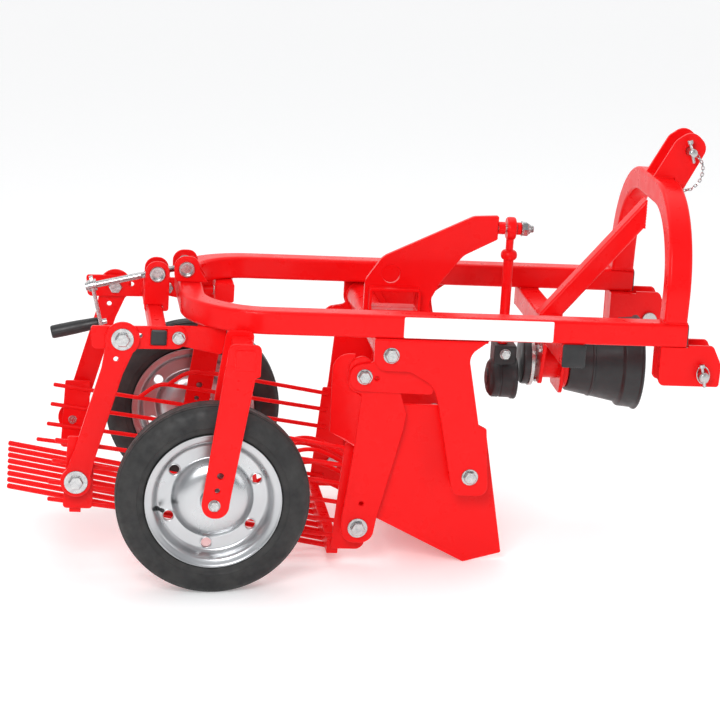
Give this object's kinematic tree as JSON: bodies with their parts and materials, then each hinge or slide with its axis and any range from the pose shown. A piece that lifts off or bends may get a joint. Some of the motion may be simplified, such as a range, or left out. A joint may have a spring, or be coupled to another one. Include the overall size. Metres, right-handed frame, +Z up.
{
  "type": "potato harvester",
  "caption": "Mounted potato digger with a fixed share, a shaken rod sieve, two ground wheels and a three-point hitch arch.",
  "frame": {"origin": "on the ground, under the middle of the machine's box", "axes": "+X forwards to the tractor, +Y to the left, +Z up"},
  "size_m": [1.514, 0.8806, 0.8779],
  "materials": {
    "black_plastic": "black moulded plastic and black housing paint, lightly textured",
    "bright_steel": "bare turned steel",
    "red_paint": "glossy red powder coat",
    "rubber": "black tyre rubber",
    "zinc_plate": "zinc-plated and galvanised steel"
  },
  "bodies": {
    "frame": {"brace": "red_paint", "cross_tube": "red_paint", "hitch_arch": "red_paint", "lower_hitch_bracket_left": "red_paint", "lower_hitch_bracket_right": "red_paint", "lower_link_pin_left": "bright_steel", "lower_link_pin_right": "bright_steel", "main_frame": "red_paint", "pto_bracket": "red_paint", "pto_guard": "black_plastic", "rear_arm_pin_left": "zinc_plate", "rear_arm_pin_right": "zinc_plate", "rear_bracket_left": "red_paint", "rear_bracket_right": "red_paint", "rocker_pin_left": "zinc_plate", "rocker_pin_right": "zinc_plate", "screw_bracket": "red_paint", "share_blade": "red_paint", "share_side_left": "red_paint", "share_side_right": "red_paint", "share_support_left": "red_paint", "share_support_right": "red_paint", "top_link_pin": "bright_steel", "top_link_plate_left": "red_paint", "top_link_plate_right": "red_paint", "wheel_axle_left": "zinc_plate", "wheel_axle_right": "zinc_plate", "wheel_fork_left": "red_paint", "wheel_fork_right": "red_paint"},
    "rocker": {"rocker_shaft": "red_paint", "rocker_plate": "red_paint", "rod_eye_bolt": "zinc_plate", "rocker_lever_right": "red_paint", "rocker_lever_left": "red_paint", "swing_arm_right": "red_paint", "swing_arm_left": "red_paint"},
    "connecting_rod": {"connecting_rod": "red_paint", "crank_housing": "black_plastic"},
    "pto_shaft": {"pto_shaft": "bright_steel"},
    "front_pins": {"sieve_front_pin_right": "zinc_plate", "sieve_front_pin_left": "zinc_plate"},
    "sieve": {"sieve_grate": "red_paint", "sieve_side_right": "red_paint", "sieve_side_left": "red_paint"},
    "rear_arm": {"rear_cross_tube": "red_paint", "screw_post": "red_paint", "rear_arm_right": "red_paint", "rear_arm_left": "red_paint"},
    "rear_pins": {"rear_pin_right": "zinc_plate", "rear_pin_left": "zinc_plate"},
    "rear_links": {"rear_link_right": "red_paint", "rear_link_left": "red_paint"},
    "crank_screw": {"crank_screw": "zinc_plate"},
    "screw_nut": {"screw_nut": "zinc_plate"},
    "wheel_right": {"tyre_right": "rubber", "rim_right": "zinc_plate"},
    "wheel_left": {"tyre_left": "rubber", "rim_left": "zinc_plate"}
  },
  "joints": [
    {"name": "rocker_shake", "type": "hinge", "parent": "frame", "child": "rocker", "pos_m": [0.042, 0, 0.46849], "axis": [0, 1, 0], "range_deg": [-6.1, 0]},
    {"name": "rod_swing", "type": "hinge", "parent": "rocker", "child": "connecting_rod", "pos_m": [0.33961, 0, 0.6711], "axis": [0, 1, 0], "range_deg": [-0.3, 2.1]},
    {"name": "pto_spin", "type": "hinge", "parent": "frame", "child": "pto_shaft", "pos_m": [0.36427, 0, 0.37961], "axis": [0.9982, 0, -0.0596], "continuous": true},
    {"name": "front_pin_turn", "type": "hinge", "parent": "rocker", "child": "front_pins", "pos_m": [-0.0267, 0, 0.08991], "axis": [0, 1, 0], "range_deg": [-0.3, 5.86]},
    {"name": "sieve_tilt", "type": "hinge", "parent": "front_pins", "child": "sieve", "pos_m": [-0.0267, 0, 0.08991], "axis": [0, 1, 0], "range_deg": [-2.15, 2.15]},
    {"name": "rear_arm_lift", "type": "hinge", "parent": "frame", "child": "rear_arm", "pos_m": [-0.39544, 0, 0.50765], "axis": [0, 1, 0], "range_deg": [-10, 10]},
    {"name": "rear_pin_turn", "type": "hinge", "parent": "rear_arm", "child": "rear_pins", "pos_m": [-0.51148, 0, 0.51057], "axis": [0, 1, 0], "range_deg": [-10.93, 10.93]},
    {"name": "rear_link_swing", "type": "hinge", "parent": "rear_pins", "child": "rear_links", "pos_m": [-0.51148, 0, 0.51057], "axis": [0, 1, 0], "range_deg": [-7.65, 0.3]},
    {"name": "crank_screw_turn", "type": "hinge", "parent": "rear_arm", "child": "crank_screw", "pos_m": [-0.42737, 0, 0.5937], "axis": [0, 1, 0], "range_deg": [-7.95, 7.95]},
    {"name": "screw_nut_turn", "type": "hinge", "parent": "frame", "child": "screw_nut", "pos_m": [-0.36558, 0, 0.60504], "axis": [0, 1, 0], "range_deg": [-2.65, 2.65]},
    {"name": "wheel_right_spin", "type": "hinge", "parent": "frame", "child": "wheel_right", "pos_m": [-0.33771, -0.368, 0.19966], "axis": [0, 1, 0], "continuous": true},
    {"name": "wheel_left_spin", "type": "hinge", "parent": "frame", "child": "wheel_left", "pos_m": [-0.33771, 0.368, 0.19966], "axis": [0, 1, 0], "continuous": true}
  ],
  "couplings": [
    {"joint": "rod_swing", "follows": "rocker_shake", "ratio": -0.2944},
    {"joint": "front_pin_turn", "follows": "rocker_shake", "ratio": -0.9112},
    {"joint": "rear_link_swing", "follows": "rocker_shake", "ratio": 1.2048},
    {"joint": "sieve_tilt", "follows": "rear_arm_lift", "ratio": 0.1852},
    {"joint": "rear_pin_turn", "follows": "rear_arm_lift", "ratio": -1.0632},
    {"joint": "crank_screw_turn", "follows": "rear_arm_lift", "ratio": -0.7645},
    {"joint": "screw_nut_turn", "follows": "rear_arm_lift", "ratio": 0.2355}
  ]
}
